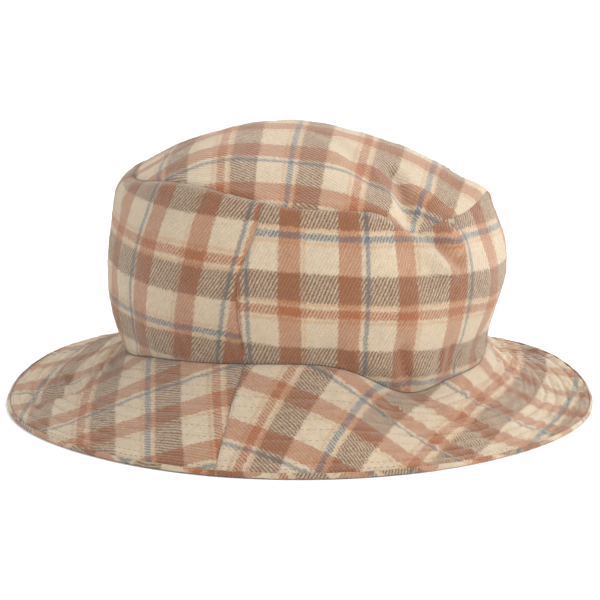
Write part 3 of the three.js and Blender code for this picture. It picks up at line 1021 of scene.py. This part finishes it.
def satin():
    """Pale satin ribbon with fine floats across it and a firm woven edge down each side."""
    g = Graph("label_satin")
    cloth, across, along = g.on_cloth()
    floats = g.math("SINE", g.math("MULTIPLY", along, 2 * math.pi / SATIN_PITCH))
    edge = g.math("GREATER_THAN", g.math("ABSOLUTE", across), LABEL_WIDTH / 2 - SELVEDGE)
    colour = g.mix(edge, linear(236, 230, 219), linear(196, 176, 150))
    colour = g.mix(g.math("MULTIPLY", g.noise(cloth, 2.5, 4), 0.25), colour, linear(214, 206, 193))
    g.shader.inputs["Anisotropic"].default_value = 0.5
    g.shader.inputs["Sheen Weight"].default_value = 0.1
    return g.finish(colour, 0.42, floats, 0.00003)


def woven(name, colour, pitch):
    """Woven cotton with fine slanting ribs, at their own pitch in millimetres."""
    g = Graph(name)
    cloth, u, v = g.on_cloth()
    ribs = g.math("SINE", g.math("MULTIPLY", g.math("ADD", u, v), 2 * math.pi / pitch))
    height = g.math("ADD", g.math("MULTIPLY", ribs, 0.4), g.noise(cloth, pitch, 3))
    shade = g.math("MULTIPLY_ADD", g.noise(cloth, 6, 4), 0.35, 0.8)
    colour = g.mix(1.0, colour, g.grey(shade), "MULTIPLY")
    g.shader.inputs["Sheen Weight"].default_value = 0.15
    g.shader.inputs["Specular IOR Level"].default_value = 0.2
    return g.finish(colour, 0.85, height, 0.0001)


THREAD_TWIST = 9000  # radians in a metre


def thread():
    """Soft cotton thread, twisted, a little darker than the cloth it holds."""
    g = Graph("cotton_thread")
    place = g.node("ShaderNodeTexCoord").outputs["Object"]
    parts = g.node("ShaderNodeSeparateXYZ", place).outputs
    twist = g.math("SINE", g.math("MULTIPLY", g.math("ADD", parts[0], parts[1]), THREAD_TWIST))
    colour = g.mix(g.noise(place, 0.012), linear(128, 98, 72), linear(162, 136, 106))
    g.shader.inputs["Sheen Weight"].default_value = 0.2
    g.shader.inputs["Specular IOR Level"].default_value = 0.25
    return g.finish(colour, 0.7, twist, 0.00003)


# ---- light, floor and camera, in metres --------------------------------------------------------

CAMERA_DISTANCE = 1.6
CAMERA_ELEVATION = 17
CAMERA_DROP = 2.007  # degrees the camera looks above the hat's axis point, to set it low in the frame
CAMERA_LENS, SENSOR_WIDTH = 171.24, 36
LIGHTS_AIM = Vector((0, 0, 0.07))
FLOOR_REACH = 6


def studio():
    world = bpy.data.worlds.new("studio")
    world.use_nodes = True
    world.node_tree.nodes["Background"].inputs["Color"].default_value = (1, 1, 1, 1)
    world.node_tree.nodes["Background"].inputs["Strength"].default_value = 1.0
    bpy.context.scene.world = world
    bpy.context.scene.view_settings.view_transform = "Standard"
    softbox("key_light", (1.05, -0.75, 0.7), 0.6, 13)
    softbox("top_light", (0.45, 0.6, 1.25), 0.9, 11)
    softbox("fill_light", (-1.1, -0.8, 0.3), 0.9, 3)


def softbox(name, place, size, power):
    light = bpy.data.lights.new(name, "AREA")
    light.size = size
    light.energy = power
    lamp = bpy.data.objects.new(name, light)
    lamp.location = place
    lamp.rotation_euler = (LIGHTS_AIM - lamp.location).to_track_quat("-Z", "Y").to_euler()
    bpy.context.scene.collection.objects.link(lamp)


def floor():
    mesh = bpy.data.meshes.new("floor")
    corners = [(x * FLOOR_REACH, y * FLOOR_REACH, 0) for x, y in ((-1, -1), (1, -1), (1, 1), (-1, 1))]
    mesh.from_pydata(corners, [], [(0, 1, 2, 3)])
    plane = bpy.data.objects.new("floor", mesh)
    g = Graph("pale_floor")
    place = g.node("ShaderNodeTexCoord").outputs["Object"]
    tone = g.ramp(g.noise(place, 0.5), [(0.3, (0.965, 0.965, 0.965, 1)), (0.7, (0.98, 0.98, 0.98, 1))])
    mesh.materials.append(g.finish(tone, 0.9, g.noise(place, 0.002), 0.00005))
    bpy.context.scene.collection.objects.link(plane)


def camera():
    data = bpy.data.cameras.new("camera")
    data.lens = CAMERA_LENS
    data.sensor_width = SENSOR_WIDTH
    view = bpy.data.objects.new("camera", data)
    rise = math.radians(CAMERA_ELEVATION)
    back = Vector((0, -math.cos(rise), math.sin(rise)))
    view.location = Vector((0, AXIS_Y * MM, 0)) + back * CAMERA_DISTANCE
    view.rotation_euler = (math.radians(90 - CAMERA_ELEVATION + CAMERA_DROP), 0, 0)
    bpy.context.scene.collection.objects.link(view)
    bpy.context.scene.camera = view


# ---- the hat -----------------------------------------------------------------------------------

camera()
studio()
floor()
plaid = flannel()
lining = woven("lining_cotton", linear(226, 212, 190), 0.35)
tape = woven("sweatband_twill", linear(205, 186, 158), 0.9)
canvas = woven("interlining_canvas", linear(236, 231, 220), 0.8)
cotton = thread()
size_label(satin())
label_tack(cotton)
crown_tip(plaid)
lining_tip(lining)
sweatband(tape)
band_thread(cotton)
for half in ("front", "back"):
    crown_side(half, plaid)
    lining_side(half, lining)
    brim_top(half, plaid)
    interlining(half, canvas)
    brim_under(half, plaid)
brim_thread("brim_rim_thread", RIM_STITCH_INSET, cotton, "brim_rim_stitch")
for row in range(1, ROW_COUNT + 1):
    brim_thread(f"brim_row_{row}_thread", row * ROW_PITCH, cotton, f"brim_stitch_row_{row}")
